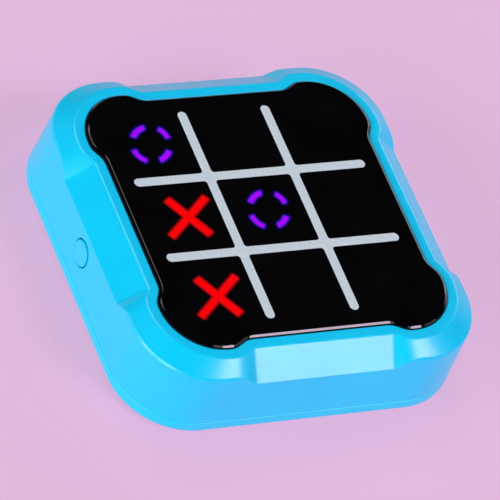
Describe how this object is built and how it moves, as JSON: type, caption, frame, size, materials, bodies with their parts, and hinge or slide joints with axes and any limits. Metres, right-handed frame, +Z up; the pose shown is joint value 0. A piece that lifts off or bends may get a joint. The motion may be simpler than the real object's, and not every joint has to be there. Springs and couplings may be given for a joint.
{
  "type": "handheld electronic tic-tac-toe game",
  "caption": "Rounded square blue plastic game with a glossy black touch window, printed grid, lit red X and purple O marks, a round side button and a battery door underneath",
  "frame": {"origin": "on the table, at the middle of the case's outline", "axes": "+X right, +Y to the back, +Z up; the power button is in the -X wall"},
  "size_m": [0.1008, 0.1008, 0.026],
  "materials": {
    "case_blue": "fine moulded grain",
    "case_blue_deep": "fine moulded grain",
    "window_black": "polished",
    "print_grey": "printed",
    "lit_red": "lit",
    "lit_purple": "lit",
    "film_black": "adhesive film",
    "film_clear": "polyester film",
    "plastic_white": "moulded",
    "plastic_black": "moulded",
    "board_green": "solder mask",
    "can_aluminium": "satin",
    "steel_plated": "nickel plated",
    "cell_jacket": "shrink sleeve over a steel can",
    "rubber_grey": "matte",
    "lead_red": "soft sheath",
    "lead_black": "soft sheath"
  },
  "bodies": {
    "case": {"upper_housing": "case_blue", "lower_housing": "case_blue_deep", "display_window": "window_black", "grid_print": "print_grey", "lit_x_marks": "lit_red", "lit_o_marks": "lit_purple", "window_tape": "film_black", "touch_film": "film_clear", "mask_film": "film_black", "light_baffle": "plastic_white", "main_pcb": "board_green", "leds_red": "lit_red", "leds_purple": "lit_purple", "mcu_chip": "plastic_black", "touch_chip": "plastic_black", "capacitors": "can_aluminium", "battery_connector": "plastic_white", "speaker_connector": "plastic_white", "switch_board": "board_green", "tact_switch_body": "plastic_black", "speaker_frame": "steel_plated", "speaker_cone": "plastic_black", "speaker_magnet": "steel_plated", "speaker_terminals": "board_green", "battery_1": "cell_jacket", "battery_2": "cell_jacket", "battery_3": "cell_jacket", "case_screws": "steel_plated", "pcb_screws": "steel_plated", "foot_front_left": "rubber_grey", "foot_back_left": "rubber_grey", "foot_front_right": "rubber_grey", "foot_back_right": "rubber_grey", "battery_lead_red": "lead_red", "battery_lead_black": "lead_black", "speaker_lead_red": "lead_red", "speaker_lead_black": "lead_black", "battery_terminal_positive": "steel_plated", "battery_terminal_negative": "steel_plated", "battery_link_left": "steel_plated", "battery_link_right": "steel_plated"},
    "button": {"power_button": "case_blue"},
    "plunger": {"tact_switch_plunger": "plastic_white"},
    "door": {"battery_door": "case_blue_deep", "battery_door_screw": "steel_plated"}
  },
  "joints": [
    {"name": "power_button_press", "type": "slide", "parent": "case", "child": "button", "axis": [1, 0, 0], "range_m": [0, 0.0005], "stiffness_N_per_m": 600, "springref_m": -0.0005},
    {"name": "switch_plunger_press", "type": "slide", "parent": "case", "child": "plunger", "axis": [1, 0, 0], "range_m": [0, 0.0005]},
    {"name": "battery_door_hinge", "type": "hinge", "parent": "case", "child": "door", "pos_m": [-0.0283, 0.01, 0.0032], "axis": [0, 1, 0], "range_deg": [0, 40]}
  ],
  "couplings": [
    {"joint": "switch_plunger_press", "follows": "power_button_press", "ratio": 1}
  ]
}
